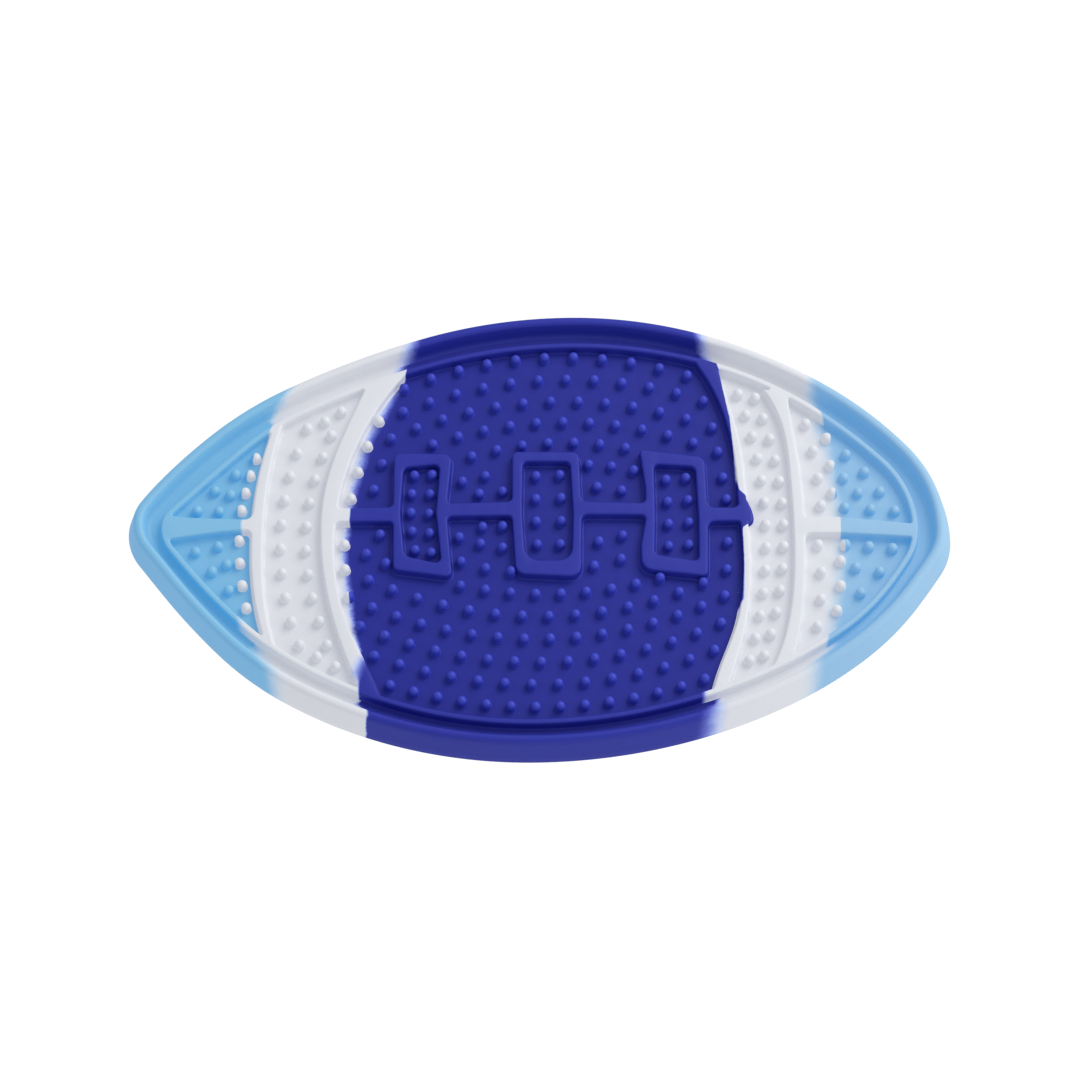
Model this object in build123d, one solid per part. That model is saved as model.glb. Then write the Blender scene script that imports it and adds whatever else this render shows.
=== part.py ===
from build123d import *
import os
from math import atan2, cos, degrees, hypot, radians, sin, sqrt

# A flat silicone feeding mat in the outline of an American football.
#
# The mat is moulded from five coloured blanks: a light blue tip, a white band, the royal blue
# middle, a white band and a light blue tip. Every node is one moulded feature of one blank.
#
# Plan coordinates are in millimetres from a drawing origin near the middle of the laces. X runs
# along the ball, Y across it. Every solid is moved at the end, so that the frame's origin is the
# middle of the outline's box on the surface that the mat rests on.

# ------------------------------------------------------------------ driving dimensions, mm
RIM_TOP = 10.5               # crest of the rim
FLOOR_TOP = 5.3              # floor of the tray and of the gutter
FLOOR_THICKNESS = 1.8
RIDGE_TOP = 8.5              # border ridge, stripes, spines and laces
BORDER_WIDTH = 2.1           # border ridge, across
RIM_INSET = 7.4              # rim section, from the outer edge to where the floor starts
NUB_RADIUS = 1.6             # at the floor
NUB_DOME_RADIUS = 1.5        # of its half-round top
NUB_HEIGHT = 3.2
CUP_RADIUS = 9.0             # suction cup lip
CUP_STEM_RADIUS = 5.0
CUP_LIP = 0.8                # lip thickness at the resting surface
CUP_ROOF = 1.0               # thickness over the middle of a cup
FLOOR_UNDERSIDE = FLOOR_TOP - FLOOR_THICKNESS

# Rim section: inset from the outer edge, height. The outer wall leans out towards its foot, and
# the skirt below the gutter is open underneath.
RIM_WALL_FOOT = [(0.3, 0.0), (0.0, 0.3)]
RIM_CREST = [(2.3, 9.6), (3.6, RIM_TOP), (4.8, 9.7)]
RIM_INNER = [(6.0, 5.9), (6.7, FLOOR_TOP), (RIM_INSET, FLOOR_TOP)]
RIM_UNDERSIDE = [(RIM_INSET, FLOOR_UNDERSIDE), (3.2, FLOOR_UNDERSIDE), (2.7, 0.0)]

# Outlines as stations: x, y and the heading of the edge there, in degrees, counterclockwise.
# Between two stations the edge is a pair of tangent arcs.
RIM_OUTLINE = [
    (125.6, 2.1, 90), (90.0, 52.8, 147), (10.7, 77.1, 180), (-80.0, 51.5, 208),
    (-119.0, 18.7, 230), (-126.3, 5.0, 268), (-115.0, -16.1, 308), (-77.0, -51.6, 330),
    (-3.8, -70.9, 360), (77.0, -51.3, 387.5), (115.0, -19.8, 414),
]
BORDER_OUTLINE = [
    (115.3, 3.0, 90), (85.0, 44.3, 144.5), (10.5, 66.8, 180), (-75.0, 43.0, 208),
    (-108.5, 14.5, 225.5), (-115.9, 3.3, 270), (-107.5, -11.8, 309.5), (-72.0, -43.5, 330),
    (-3.5, -61.9, 360), (72.0, -43.5, 387), (106.0, -17.0, 413.5),
]

# Where two blanks meet, as an arc across the mat: near edge, middle, far edge.
BLANK_NAMES = ["left_tip", "left_band", "centre", "right_band", "right_tip"]
BLANK_JOINTS = [
    [(-81.5, -45.0), (-86.3, 0.0), (-78.0, 50.0)],
    [(-52.0, -64.0), (-59.5, -3.0), (-40.5, 65.0)],
    [(48.5, -62.0), (61.3, -3.0), (52.0, 68.0)],
    [(83.0, -46.0), (91.0, 3.0), (83.5, 54.0)],
]
NUB_JOINT_SHIFT = [-6.0, 1.6, 0.0, 1.9]   # nubs change colour this far right of a joint
BEYOND_MAT = 160.0                        # reaches past the mat on every side
BETWEEN_STRIPES = (-75.0, 70.0)           # x between the two stripes on each side

# Stripe ridges: points along the left edge and the right edge, from the near end to the far end.
STRIPES = {
    "left_outer_stripe": (
        [(-82.6, -36.5), (-86.9, -20.0), (-88.3, -3.0), (-87.0, 18.0), (-82.6, 37.5)],
        [(-78.6, -40.0), (-82.8, -24.0), (-84.4, -3.0), (-83.2, 20.0), (-78.4, 42.0)],
    ),
    "left_inner_stripe": (
        [(-53.2, -53.0), (-58.7, -40.0), (-64.7, -20.0), (-67.2, 0.0), (-66.3, 16.0),
         (-60.8, 35.0), (-53.5, 53.0)],
        [(-47.0, -54.5), (-51.2, -45.0), (-59.4, -25.0), (-62.6, -5.0), (-61.2, 14.0),
         (-54.6, 35.0), (-46.0, 50.0), (-41.0, 56.5)],
    ),
    "right_inner_stripe": (
        [(51.5, -51.0), (54.9, -40.0), (58.9, -29.0), (61.3, -12.0), (60.6, 10.0),
         (58.6, 32.0), (53.3, 50.0), (48.0, 59.5)],
        [(55.8, -51.0), (59.3, -40.0), (62.3, -28.0), (63.9, -12.0), (63.2, 10.0),
         (61.4, 32.0), (57.2, 50.0), (55.0, 58.5)],
    ),
    "right_outer_stripe": (
        [(68.5, -45.0), (72.8, -35.0), (76.2, -18.0), (77.0, 0.0), (76.2, 22.0),
         (73.6, 40.0), (68.5, 50.5)],
        [(75.5, -42.5), (78.2, -32.0), (80.3, -15.0), (80.8, 0.0), (80.0, 20.0),
         (78.0, 36.0), (76.5, 50.0)],
    ),
}
STRIPE_LOBE = [(60.0, 15.6), (62.6, 13.4), (64.4, 9.4), (64.7, 6.6), (61.0, 4.4)]

# Spines: corners of each top face.
SPINES = {
    "left_tip_spine": [(-116.0, 7.6), (-108.0, 6.6), (-87.0, 5.8), (-87.0, 2.3), (-97.0, 1.4),
                       (-108.0, -0.2), (-116.0, -1.6)],
    "right_tip_spine": [(79.0, 7.0), (92.0, 6.8), (114.0, 4.6), (114.0, -0.3), (92.0, 1.0),
                        (79.0, 1.0)],
}

# Laces: three upright frames on one bar. A frame is its outer and its inner corners, each with
# a corner radius.
LACE_FRAMES = [
    ([(-45.2, 28.5, 2.2), (-27.0, 28.2, 2.8), (-28.6, 9.0, 0.0), (-26.6, -13.8, 2.0),
      (-44.9, -11.2, 2.0), (-45.2, 8.0, 0.0)],
     [(-41.9, 23.2, 1.6), (-31.0, 24.5, 1.6), (-32.1, 8.0, 0.0), (-30.2, -9.0, 1.5),
      (-41.2, -6.4, 2.4), (-42.7, 8.0, 0.0)]),
    ([(-8.9, 29.0, 1.8), (12.0, 28.9, 2.6), (12.7, 8.0, 0.0), (12.5, -13.6, 3.6),
      (-7.6, -12.6, 3.4), (-8.8, 6.0, 0.0)],
     [(-5.3, 25.3, 1.2), (8.9, 25.3, 1.5), (9.8, 8.0, 0.0), (9.4, -7.8, 4.2),
      (-4.4, -7.8, 4.4), (-5.5, 8.0, 0.0)]),
    ([(30.2, 29.8, 0.9), (50.6, 27.2, 3.2), (51.3, 6.0, 0.0), (51.0, -13.4, 1.8),
      (30.6, -11.0, 4.0), (30.4, -3.0, 0.0), (32.1, 7.0, 0.0), (31.9, 17.0, 0.0)],
     [(35.0, 24.4, 1.0), (47.4, 23.6, 1.8), (48.1, 6.0, 0.0), (48.0, -8.0, 1.2),
      (34.8, -5.8, 1.6), (35.2, 6.0, 0.0)]),
]
# Bars between them: left end, right end, each with its lower and upper edge.
LACE_BARS = [
    (-63.0, 4.8, 9.6, -44.0, 5.0, 10.1),
    (-29.5, 6.7, 11.3, -7.5, 7.0, 12.0),
    (11.0, 7.3, 12.1, 33.0, 7.2, 11.5),
    (50.0, 5.0, 10.1, 62.0, 5.2, 10.0),
]

# Webs that round the inside corners where ridges meet: corner, direction along X and along Y
# in which the web spreads, radius.
WEB_OVERLAP = 0.5
CORNER_WEBS = [
    (-87.9, 5.8, -1, 1, 2.8), (-88.2, 2.2, -1, -1, 2.2),
    (80.5, 6.9, 1, 1, 0.9), (80.7, 1.0, 1, -1, 1.6),
    (-61.9, 9.6, 1, 1, 0.8), (-62.1, 4.9, 1, -1, 0.8),
    (-45.2, 10.1, -1, 1, 1.2), (-45.1, 5.0, -1, -1, 1.2),
    (-28.4, 11.3, 1, 1, 1.3), (-28.4, 6.7, 1, -1, 1.3),
    (-8.8, 12.0, -1, 1, 1.3), (-8.8, 7.0, -1, -1, 1.2),
    (12.6, 12.1, 1, 1, 1.6), (12.7, 7.3, 1, -1, 1.6),
    (32.0, 11.5, -1, 1, 1.5), (32.0, 7.2, -1, -1, 1.4),
    (51.2, 10.1, 1, 1, 1.6), (51.3, 5.0, 1, -1, 1.6),
    (60.6, 10.0, -1, 1, 2.0), (60.9, 5.2, -1, -1, 0.8),
]

# Nub rows: first nub, middle of the row, last nub, how many. A row lies on the arc through them.
NUB_ROWS = [
    # above the laces, following the far border
    ((-42.3, 51.5), (5.5, 62.3), (45.6, 56.0), 11),
    ((-42.4, 43.4), (4.0, 54.6), (50.4, 47.2), 12),
    ((-46.0, 34.2), (3.6, 47.0), (53.0, 38.0), 13),
    ((-33.2, 32.1), (11.0, 39.8), (54.6, 29.6), 12),
    ((-21.2, 28.0), (2.4, 32.6), (26.1, 31.0), 7),
    # between the frames, far side of the bar
    ((-24.0, 19.4), (-20.5, 20.4), (-17.0, 21.3), 2),
    ((-18.8, 15.2), (-15.0, 15.7), (-11.7, 16.0), 2),
    ((14.8, 25.2), (21.8, 24.6), (28.6, 23.2), 3),
    ((17.3, 17.6), (21.0, 17.2), (24.8, 16.4), 2),
    # between the frames, near side of the bar
    ((-17.7, 4.0), (-14.6, 4.1), (-11.6, 4.2), 2),
    ((-24.8, 0.5), (-18.7, -1.5), (-11.6, -2.9), 3),
    ((-24.2, -7.6), (-17.2, -9.7), (-9.0, -10.9), 3),
    ((17.8, -0.9), (21.4, 0.2), (25.0, 1.2), 2),
    ((16.3, -9.0), (20.5, -7.9), (24.5, -6.7), 2),
    # beyond the outer frames
    ((-51.0, 16.6), (-49.8, 21.0), (-48.6, 25.4), 2),
    ((-48.9, 1.4), (-48.3, -3.2), (-47.0, -8.2), 2),
    ((-53.0, -5.0), (-52.7, -9.4), (-52.1, -13.7), 2),
    ((56.6, -10.2), (57.1, -5.7), (57.0, -1.1), 2),
    ((56.9, 13.4), (56.5, 17.2), (55.9, 20.8), 2),
    # below the laces, following the near border
    ((-24.3, -15.6), (5.0, -18.3), (36.3, -13.0), 9),
    ((-44.9, -16.9), (2.0, -25.7), (49.4, -14.6), 13),
    ((-58.0, -19.4), (-2.0, -33.2), (55.8, -18.9), 16),
    ((-54.4, -29.0), (0.0, -40.8), (54.5, -27.9), 15),
    ((-50.0, -38.8), (1.2, -48.0), (52.3, -36.8), 14),
    ((-45.1, -48.4), (2.0, -55.4), (49.2, -46.3), 14),
    # white nubs beside the royal joint
    ((-49.9, 40.2), (-54.7, 27.5), (-58.0, 13.6), 4),
    ((-59.7, -2.0), (-59.6, -6.2), (-59.4, -10.3), 2),
    # left band
    ((-66.6, 40.0), (-64.1, 41.8), (-61.6, 43.4), 2),
    ((-72.0, 37.6), (-68.0, 36.4), (-64.5, 35.2), 2),
    ((-74.9, 29.2), (-79.2, -1.5), (-75.3, -27.6), 8),
    ((-67.0, 27.8), (-71.5, -1.0), (-66.8, -27.4), 8),
    ((-72.6, -35.2), (-68.0, -38.6), (-61.6, -42.3), 3),
    ((-64.3, -35.2), (-64.3, -35.2), (-64.3, -35.2), 1),
    # right band, left of its stripe
    ((61.2, 49.6), (68.8, 4.0), (62.8, -40.2), 13),
    ((66.5, 48.2), (74.2, 4.0), (67.3, -38.6), 13),
    # right band, right of its stripe
    ((81.9, 39.2), (84.6, 25.5), (85.8, 11.3), 4),
    ((84.6, -2.0), (85.2, -15.5), (83.6, -29.0), 4),
    # right tip
    ((88.2, 34.3), (89.2, 23.0), (89.4, 15.6), 3),
    ((91.2, -7.3), (91.0, -15.4), (89.6, -23.8), 3),
    ((94.0, 28.6), (99.7, 22.4), (104.0, 16.0), 3),
    ((93.0, 20.7), (97.3, 15.6), (101.0, 10.0), 3),
    ((93.0, 10.6), (93.0, 10.6), (93.0, 10.6), 1),
    ((108.3, 9.5), (108.3, 9.5), (108.3, 9.5), 1),
    ((92.9, -1.9), (100.0, -2.6), (107.2, -3.2), 3),
    ((95.8, -9.6), (99.4, -10.3), (103.0, -11.0), 2),
    ((97.0, -18.0), (97.0, -18.0), (97.0, -18.0), 1),
    # left tip
    ((-87.6, 27.3), (-90.2, 17.0), (-91.5, 9.6), 4),
    ((-91.9, -0.6), (-91.0, -12.0), (-89.0, -23.0), 4),
    ((-99.8, 16.2), (-96.7, 19.0), (-93.6, 21.7), 2),
    ((-105.0, 9.4), (-105.0, 9.4), (-105.0, 9.4), 1),
    ((-98.3, 9.2), (-96.6, 12.0), (-95.0, 14.8), 2),
    ((-105.0, -4.4), (-101.6, -3.4), (-98.2, -2.6), 2),
    ((-95.4, -8.6), (-97.6, -9.8), (-99.8, -11.0), 2),
    ((-94.5, -17.2), (-94.5, -17.2), (-94.5, -17.2), 1),
]
# Nub columns inside the lace frames, far nub first.
LACE_NUB_ROWS = [
    ((-38.7, 21.4), (-39.6, 8.2), (-38.2, -3.8), 5),
    ((-33.3, 21.6), (-34.1, 8.0), (-33.3, -4.7), 5),
    ((-1.4, 21.2), (-1.4, 9.4), (-1.0, -1.9), 4),
    ((5.9, 21.6), (6.3, 9.6), (6.0, -1.8), 4),
    ((38.5, 20.0), (39.0, 8.6), (39.0, -2.4), 4),
    ((44.6, 20.6), (45.2, 9.2), (45.1, -2.0), 4),
]

# Suction cups under the floor, by blank.
CUP_CENTRES = {
    "left_tip": [(-102.0, 3.0)],
    "left_band": [(-71.0, 33.0), (-74.0, 3.0), (-71.0, -27.0)],
    "centre": [(x, y) for x in (-36.0, 1.0, 38.0) for y in (-38.0, 3.0, 44.0)],
    "right_band": [(71.0, 34.0), (75.0, 3.0), (71.0, -27.0)],
    "right_tip": [(103.0, 3.0)],
}


# ------------------------------------------------------------------ plan outlines
def tangent_arc(start, heading, end):
    """The left-turning arc that leaves start at heading and reaches end."""
    chord_x, chord_y = end[0] - start[0], end[1] - start[1]
    normal = (-sin(heading), cos(heading))
    sideways = chord_x * normal[0] + chord_y * normal[1]
    ahead = chord_x * cos(heading) + chord_y * sin(heading)
    radius = (chord_x ** 2 + chord_y ** 2) / (2 * sideways)
    centre = (start[0] + radius * normal[0], start[1] + radius * normal[1])
    first_angle = degrees(heading) - 90
    sweep = degrees(2 * atan2(sideways, ahead))
    return centre, radius, first_angle, sweep


def arc_chain(stations):
    """Tangent arcs round a closed outline: a pair of arcs from each station to the next."""
    arcs = []
    for start, end in zip(stations, stations[1:] + stations[:1]):
        turn_in, turn_out = radians(start[2]), radians(end[2])
        chord = (end[0] - start[0], end[1] - start[1])
        both = (cos(turn_in) + cos(turn_out), sin(turn_in) + sin(turn_out))
        along = chord[0] * both[0] + chord[1] * both[1]
        open_turn = 2 * (1 - cos(turn_out - turn_in))
        reach = (sqrt(along ** 2 + open_turn * (chord[0] ** 2 + chord[1] ** 2)) - along) / open_turn
        before = (start[0] + reach * cos(turn_in), start[1] + reach * sin(turn_in))
        after = (end[0] - reach * cos(turn_out), end[1] - reach * sin(turn_out))
        middle = ((before[0] + after[0]) / 2, (before[1] + after[1]) / 2)
        middle_heading = atan2(after[1] - before[1], after[0] - before[0])
        arcs.append(tangent_arc(start, turn_in, middle))
        arcs.append(tangent_arc(middle, middle_heading, end))
    return arcs


def outline_face(arcs, inset=0.0):
    """The area inside an outline, drawn in by inset."""
    edges = [CenterArc(centre, radius - inset, first, sweep) for centre, radius, first, sweep in arcs]
    return make_face(Wire(edges))


def rounded_face(corners):
    """A polygon whose corners are x, y and radius."""
    face = make_face(Polyline(*[(x, y) for x, y, radius in corners], close=True))
    for x, y, radius in corners:
        if radius > 0:
            face = fillet(nearest_vertex(face, x, y), radius)
    return face


def nearest_vertex(shape, x, y):
    return min(shape.vertices(), key=lambda vertex: hypot(vertex.X - x, vertex.Y - y))


def band_face(left_edge, right_edge):
    """The area between two smooth edges."""
    left = Spline(*left_edge)
    right = Spline(*right_edge)
    near_end = Line(left @ 0, right @ 0)
    far_end = Line(left @ 1, right @ 1)
    return make_face([left, far_end, right, near_end])


# ------------------------------------------------------------------ blanks
def joint_line(joint):
    """A joint's arc, run on straight past both edges of the mat."""
    near, middle, far = joint
    return [
        Line((near[0], -BEYOND_MAT), near),
        ThreePointArc(near, middle, far),
        Line(far, (far[0], BEYOND_MAT)),
    ]


def wall_line(x):
    return [Line((x, -BEYOND_MAT), (x, BEYOND_MAT))]


def blank_face(index):
    """The area of the plan that belongs to one blank."""
    left = wall_line(-BEYOND_MAT) if index == 0 else joint_line(BLANK_JOINTS[index - 1])
    right = wall_line(BEYOND_MAT) if index == len(BLANK_JOINTS) else joint_line(BLANK_JOINTS[index])
    ends = [Line(left[0] @ 0, right[0] @ 0), Line(left[-1] @ 1, right[-1] @ 1)]
    return make_face(left + right + ends)


def prism(face, low, high):
    return extrude(Pos(0, 0, low) * face, high - low)


# ------------------------------------------------------------------ rim and floor
def rim_section(radius):
    """The rim's section, standing on the XZ plane with its outer edge at radius."""
    def at(point):
        return (radius - point[0], 0, point[1])

    wall = [at(point) for point in RIM_WALL_FOOT + RIM_CREST[:1]]
    crest = [at(point) for point in RIM_CREST]
    inside = [at(point) for point in RIM_CREST[-1:] + RIM_INNER + RIM_UNDERSIDE + RIM_WALL_FOOT[:1]]
    return make_face([Polyline(*wall), ThreePointArc(*crest), Polyline(*inside)])


def rim_ring(arcs):
    """The whole rim: its section turned about the centre of each arc of the outline."""
    pieces = []
    for centre, radius, first, sweep in arcs:
        turned = revolve(rim_section(radius), Axis.Z, sweep)
        pieces.append(Pos(centre[0], centre[1], 0) * Rot(0, 0, first) * turned)
    return pieces[0].fuse(*pieces[1:])


# ------------------------------------------------------------------ ridges
def lace_face():
    """The laces in plan: bars and frames, with the frames' windows open."""
    frames = [(rounded_face(outer), rounded_face(inner)) for outer, inner in LACE_FRAMES]
    bars = []
    for left, left_low, left_high, right, right_low, right_high in LACE_BARS:
        corners = [(left, left_low), (right, right_low), (right, right_high), (left, left_high)]
        bars.append(make_face(Polyline(*corners, close=True)))
    laces = bars[0]
    for piece in bars[1:] + [outer for outer, inner in frames]:
        laces = laces + piece
    for outer, inner in frames:
        laces = laces - inner
    return laces


def stripe_faces():
    """Each stripe's area, with the lobe on the stripe that it belongs to."""
    faces = {name: band_face(left, right) for name, (left, right) in STRIPES.items()}
    lobe = make_face([Spline(*STRIPE_LOBE), Line(STRIPE_LOBE[-1], STRIPE_LOBE[0])])
    faces["right_inner_stripe"] = faces["right_inner_stripe"] + lobe
    return faces


def web_face(x, y, toward_x, toward_y, radius):
    """The fill of an inside corner at x, y, hollowed to the given radius."""
    side = radius + WEB_OVERLAP
    middle = (radius - WEB_OVERLAP) / 2
    block = Pos(x + toward_x * middle, y + toward_y * middle) * Rectangle(side, side)
    return block - Pos(x + toward_x * radius, y + toward_y * radius) * Circle(radius)


def ridge_network(border_arcs):
    """All ridges in plan as one face, cut off at the border's outer edge."""
    inside = outline_face(border_arcs)
    network = inside - outline_face(border_arcs, BORDER_WIDTH)
    for stripe in stripe_faces().values():
        network = network + stripe
    for corners in SPINES.values():
        network = network + make_face(Polyline(*corners, close=True))
    network = network + lace_face()
    for corner_web in CORNER_WEBS:
        network = network + web_face(*corner_web)
    return network & inside


# ------------------------------------------------------------------ nubs and cups
def nub():
    """One nub, standing on z = 0: slightly tapered, with a half-round top."""
    shoulder = NUB_HEIGHT - NUB_DOME_RADIUS
    halfway = NUB_DOME_RADIUS * sqrt(0.5)
    section = [
        Polyline((0, 0, 0), (NUB_RADIUS, 0, 0), (NUB_DOME_RADIUS, 0, shoulder)),
        ThreePointArc((NUB_DOME_RADIUS, 0, shoulder), (halfway, 0, shoulder + halfway),
                      (0, 0, NUB_HEIGHT)),
        Line((0, 0, NUB_HEIGHT), (0, 0, 0)),
    ]
    return revolve(make_face(section), Axis.Z, 360)


def row_points(row):
    """The centres of the nubs in one row."""
    first, middle, last, count = row
    if count == 1:
        return [first]
    if abs((middle[0] - first[0]) * (last[1] - first[1])
           - (middle[1] - first[1]) * (last[0] - first[0])) < 0.05:
        path = Line(first, last)
    else:
        path = ThreePointArc(first, middle, last)
    return [tuple(path @ (index / (count - 1)))[:2] for index in range(count)]


def joint_x(joint, y):
    """Where a joint crosses the given y."""
    (x1, y1), (x2, y2), (x3, y3) = joint
    across = 2 * (x1 * (y2 - y3) + x2 * (y3 - y1) + x3 * (y1 - y2))
    s1, s2, s3 = x1 ** 2 + y1 ** 2, x2 ** 2 + y2 ** 2, x3 ** 2 + y3 ** 2
    centre_x = (s1 * (y2 - y3) + s2 * (y3 - y1) + s3 * (y1 - y2)) / across
    centre_y = (s1 * (x3 - x2) + s2 * (x1 - x3) + s3 * (x2 - x1)) / across
    radius = hypot(x2 - centre_x, y2 - centre_y)
    side = 1 if x2 > centre_x else -1
    return centre_x + side * sqrt(radius ** 2 - (y - centre_y) ** 2)


def nub_blank(x, y):
    """The name of the blank that a nub belongs to."""
    index = 0
    for joint, shift in zip(BLANK_JOINTS, NUB_JOINT_SHIFT):
        if x > joint_x(joint, y) + shift:
            index += 1
    return BLANK_NAMES[index]


def suction_cup():
    """One cup under the floor, with its lip on z = 0."""
    hollow_roof = FLOOR_UNDERSIDE - CUP_ROOF
    section = Polyline(
        (0, 0, FLOOR_UNDERSIDE), (CUP_STEM_RADIUS, 0, FLOOR_UNDERSIDE), (CUP_RADIUS, 0, 0),
        (CUP_RADIUS - CUP_LIP, 0, 0), (CUP_STEM_RADIUS - CUP_LIP, 0, hollow_roof),
        (0, 0, hollow_roof), close=True)
    return revolve(make_face(section), Axis.Z, 360)


# ------------------------------------------------------------------ nodes
def cut_between(solid, low_x, high_x):
    """The part of a solid between two upright planes across the mat."""
    width = high_x - low_x
    slab = Pos((low_x + high_x) / 2, 0, RIDGE_TOP) * Box(width, 2 * BEYOND_MAT, 4 * RIDGE_TOP)
    return solid & slab


def build_nodes():
    rim_arcs = arc_chain(RIM_OUTLINE)
    border_arcs = arc_chain(BORDER_OUTLINE)
    blanks = [blank_face(index) for index in range(len(BLANK_NAMES))]
    nodes = {}

    floor = prism(outline_face(rim_arcs, RIM_INSET), FLOOR_UNDERSIDE, FLOOR_TOP)
    rim = rim_ring(rim_arcs)
    ridges = prism(ridge_network(border_arcs), FLOOR_TOP, RIDGE_TOP)
    inner_prism = prism(outline_face(border_arcs, BORDER_WIDTH), FLOOR_TOP - 1, RIDGE_TOP + 1)
    border = ridges - inner_prism
    inner_ridges = ridges & inner_prism

    for name, blank in zip(BLANK_NAMES, blanks):
        territory = prism(blank, -1, RIM_TOP + 1)
        nodes[name + "_floor"] = floor & territory
        nodes[name + "_rim"] = rim & territory
        nodes[name + "_border"] = border & territory

    rest = inner_ridges
    for name, stripe in stripe_faces().items():
        stripe_prism = prism(stripe, FLOOR_TOP - 1, RIDGE_TOP + 1)
        nodes[name] = inner_ridges & stripe_prism
        rest = rest - stripe_prism
    nodes["left_tip_spine"] = cut_between(rest, -BEYOND_MAT, BETWEEN_STRIPES[0])
    nodes["laces"] = cut_between(rest, *BETWEEN_STRIPES)
    nodes["right_tip_spine"] = cut_between(rest, BETWEEN_STRIPES[1], BEYOND_MAT)

    one_nub = Pos(0, 0, FLOOR_TOP) * nub()
    groups = {}
    for row in NUB_ROWS:
        for x, y in row_points(row):
            groups.setdefault(nub_blank(x, y) + "_nubs", []).append(Pos(x, y, 0) * one_nub)
    for row in LACE_NUB_ROWS:
        for x, y in row_points(row):
            groups.setdefault("lace_nubs", []).append(Pos(x, y, 0) * one_nub)
    one_cup = suction_cup()
    for name, centres in CUP_CENTRES.items():
        groups[name + "_suction_cups"] = [Pos(x, y, 0) * one_cup for x, y in centres]
    for name, solids in groups.items():
        nodes[name] = Compound([piece.solid() for piece in solids])

    box = outline_face(rim_arcs).bounding_box()
    to_frame = Pos(-box.center().X, -box.center().Y, 0)
    return {name: to_frame * shape for name, shape in nodes.items()}


os.makedirs("parts", exist_ok=True)
for node_name, node_shape in build_nodes().items():
    export_step(node_shape, "parts/" + node_name + ".step")
    print(node_name, len(node_shape.solids()), "solids")
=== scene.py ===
import bpy
import math
import random
import numpy as np
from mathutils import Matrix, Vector, geometry


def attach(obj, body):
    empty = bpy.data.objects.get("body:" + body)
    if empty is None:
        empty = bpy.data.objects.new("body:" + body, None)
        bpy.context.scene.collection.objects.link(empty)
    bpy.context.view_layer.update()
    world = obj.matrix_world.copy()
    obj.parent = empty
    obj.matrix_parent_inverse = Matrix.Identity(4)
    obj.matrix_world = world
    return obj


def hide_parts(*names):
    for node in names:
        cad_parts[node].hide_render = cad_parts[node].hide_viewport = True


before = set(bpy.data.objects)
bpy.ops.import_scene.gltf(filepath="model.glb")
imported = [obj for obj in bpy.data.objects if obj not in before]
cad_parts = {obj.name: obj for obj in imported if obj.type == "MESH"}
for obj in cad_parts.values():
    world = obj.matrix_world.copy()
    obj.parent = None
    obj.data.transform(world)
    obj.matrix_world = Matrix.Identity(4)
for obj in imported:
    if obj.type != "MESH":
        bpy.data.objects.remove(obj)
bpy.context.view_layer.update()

# A flat silicone feeding mat in the outline of an American football: five coloured blanks, a rim,
# a border ridge, stripes, spines and laces, domed nubs and suction cups. Lengths are in mm here
# and become metres when a mesh is made.
MM = 0.001
DRAWING_SHIFT = (0.355, -3.104)      # from the drawing origin to the frame's origin
FLOOR_TOP = 5.3
FLOOR_UNDERSIDE = 3.5
RIDGE_TOP = 8.5
CUP_RADIUS = 9.0
NUB_REACH = 2.2                      # vertices on top of nubs nearer than this are one nub's
CUP_REACH = 2.1 * CUP_RADIUS         # no point of a cup is further than this from another
NUB_SIDES = 28
CUP_SIDES = 72
NUB_SEED = 11
NUB_WIDTHS = (0.98, 1.03)            # the nubs vary a little, as shares of their drawn size
NUB_HEIGHTS = (0.97, 1.0)
FOOT_HEIGHT = 0.5                    # a nub's height isn't stretched below this
OUTLINE_STEP = 0.25                  # between points along the rim's outline
RIM_STATION = 0.9                    # between the rim mesh's sections
LOOP_STEP = 0.2                      # between points along a ridge outline, as it is joined up
RIDGE_STATION = 0.42                 # and as it is meshed
LOOP_SMOOTHINGS = 6
LOOP_GAP = 0.01                      # a chain whose ends are nearer than this is closed
SHORTEST_LOOP = 12                   # points; a chain with no more is left over, and dropped
JUST_OUTSIDE = 0.04                  # how far past an outline another node is looked for
SMALL_INSET = 0.12                   # below this a loop isn't checked for crossing itself
INSET_SLACK = 0.95                   # a moved point keeps this share of the inset as a gap
BLANKS = ["left_tip", "left_band", "centre", "right_band", "right_tip"]

RIM_OUTLINE = [
    (125.6, 2.1, 90), (90.0, 52.8, 147), (10.7, 77.1, 180), (-80.0, 51.5, 208),
    (-119.0, 18.7, 230), (-126.3, 5.0, 268), (-115.0, -16.1, 308), (-77.0, -51.6, 330),
    (-3.8, -70.9, 360), (77.0, -51.3, 387.5), (115.0, -19.8, 414),
]
BLANK_JOINTS = [
    [(-81.5, -45.0), (-86.3, 0.0), (-78.0, 50.0)],
    [(-52.0, -64.0), (-59.5, -3.0), (-40.5, 65.0)],
    [(48.5, -62.0), (61.3, -3.0), (52.0, 68.0)],
    [(83.0, -46.0), (91.0, 3.0), (83.5, 54.0)],
]

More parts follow.
